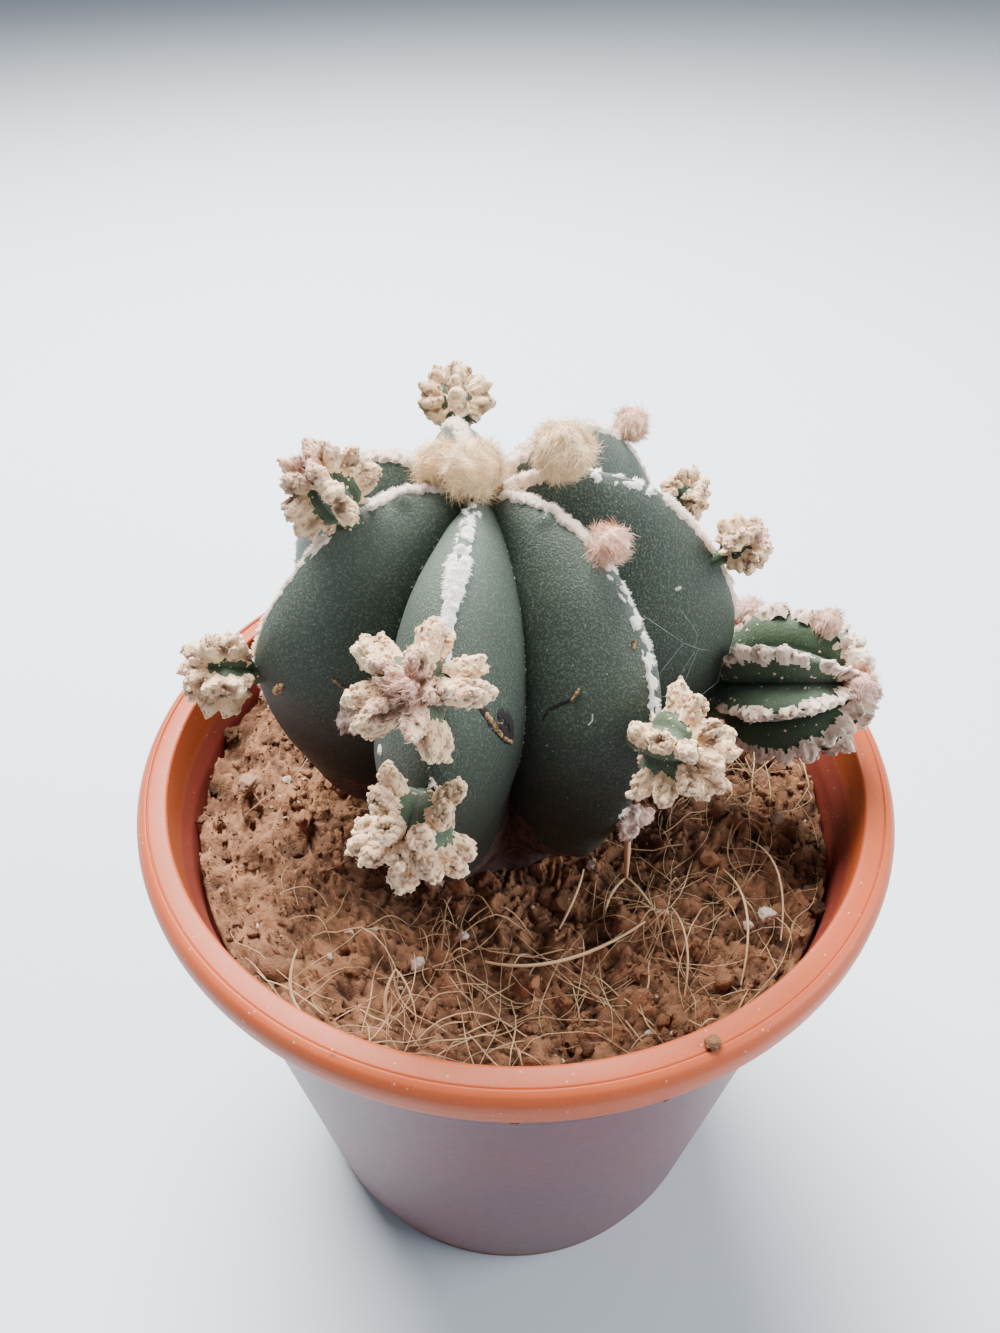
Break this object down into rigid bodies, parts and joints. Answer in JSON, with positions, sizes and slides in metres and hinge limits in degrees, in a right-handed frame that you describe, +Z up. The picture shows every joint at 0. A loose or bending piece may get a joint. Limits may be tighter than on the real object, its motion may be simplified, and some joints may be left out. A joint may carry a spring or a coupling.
{
  "type": "potted bishop's cap cactus",
  "caption": "Round plastic nursery pot of soil with a low, ribbed, spineless cactus, woolly felt along its ribs and small woolly side heads.",
  "frame": {"origin": "middle of the pot's foot ring, on the surface that the pot stands on", "axes": "+Z up along the pot's axis; -Y is the front, and the large side head leans over the rim towards +X"},
  "size_m": [0.1, 0.1, 0.1326],
  "materials": {
    "pot": "smooth terracotta-coloured plastic, fine scratches and dust",
    "soil": "dry brown peat and coir with tan fibres",
    "cactus_skin": "matt grey-green skin with fine white flecks, corky at the base",
    "felt": "white to cream woolly felt",
    "crown_wool": "cream, slightly yellow wool",
    "pink_wool": "pinkish wool",
    "head_skin": "matt green skin",
    "head_wool": "lumpy cream and pinkish wool",
    "dried_bud": "shrivelled pinkish-brown tissue"
  },
  "bodies": {
    "root": {"pot": "pot", "soil": "soil", "cactus_body": "cactus_skin", "rib_felt_1": "felt", "rib_felt_2": "felt", "rib_felt_3": "felt", "rib_felt_4": "felt", "rib_felt_5": "felt", "rib_felt_6": "felt", "rib_felt_7": "felt", "crown_wool_1": "crown_wool", "crown_wool_2": "crown_wool", "rib_wool_1": "crown_wool", "rib_wool_2": "pink_wool", "rib_wool_3": "pink_wool", "offset_1_body": "head_skin", "offset_1_wool": "head_wool", "offset_2_body": "head_skin", "offset_2_wool": "head_wool", "offset_3_body": "head_skin", "offset_3_wool": "head_wool", "offset_4_body": "head_skin", "offset_4_wool": "head_wool", "offset_5_body": "head_skin", "offset_5_wool": "head_wool", "offset_6_body": "head_skin", "offset_6_wool": "head_wool", "offset_7_body": "head_skin", "offset_7_wool": "head_wool", "offset_8_body": "head_skin", "offset_8_wool": "head_wool", "large_offset_body": "head_skin", "large_offset_wool": "head_wool", "shrivelled_bud": "dried_bud", "side_bud": "dried_bud"}
  },
  "joints": []
}
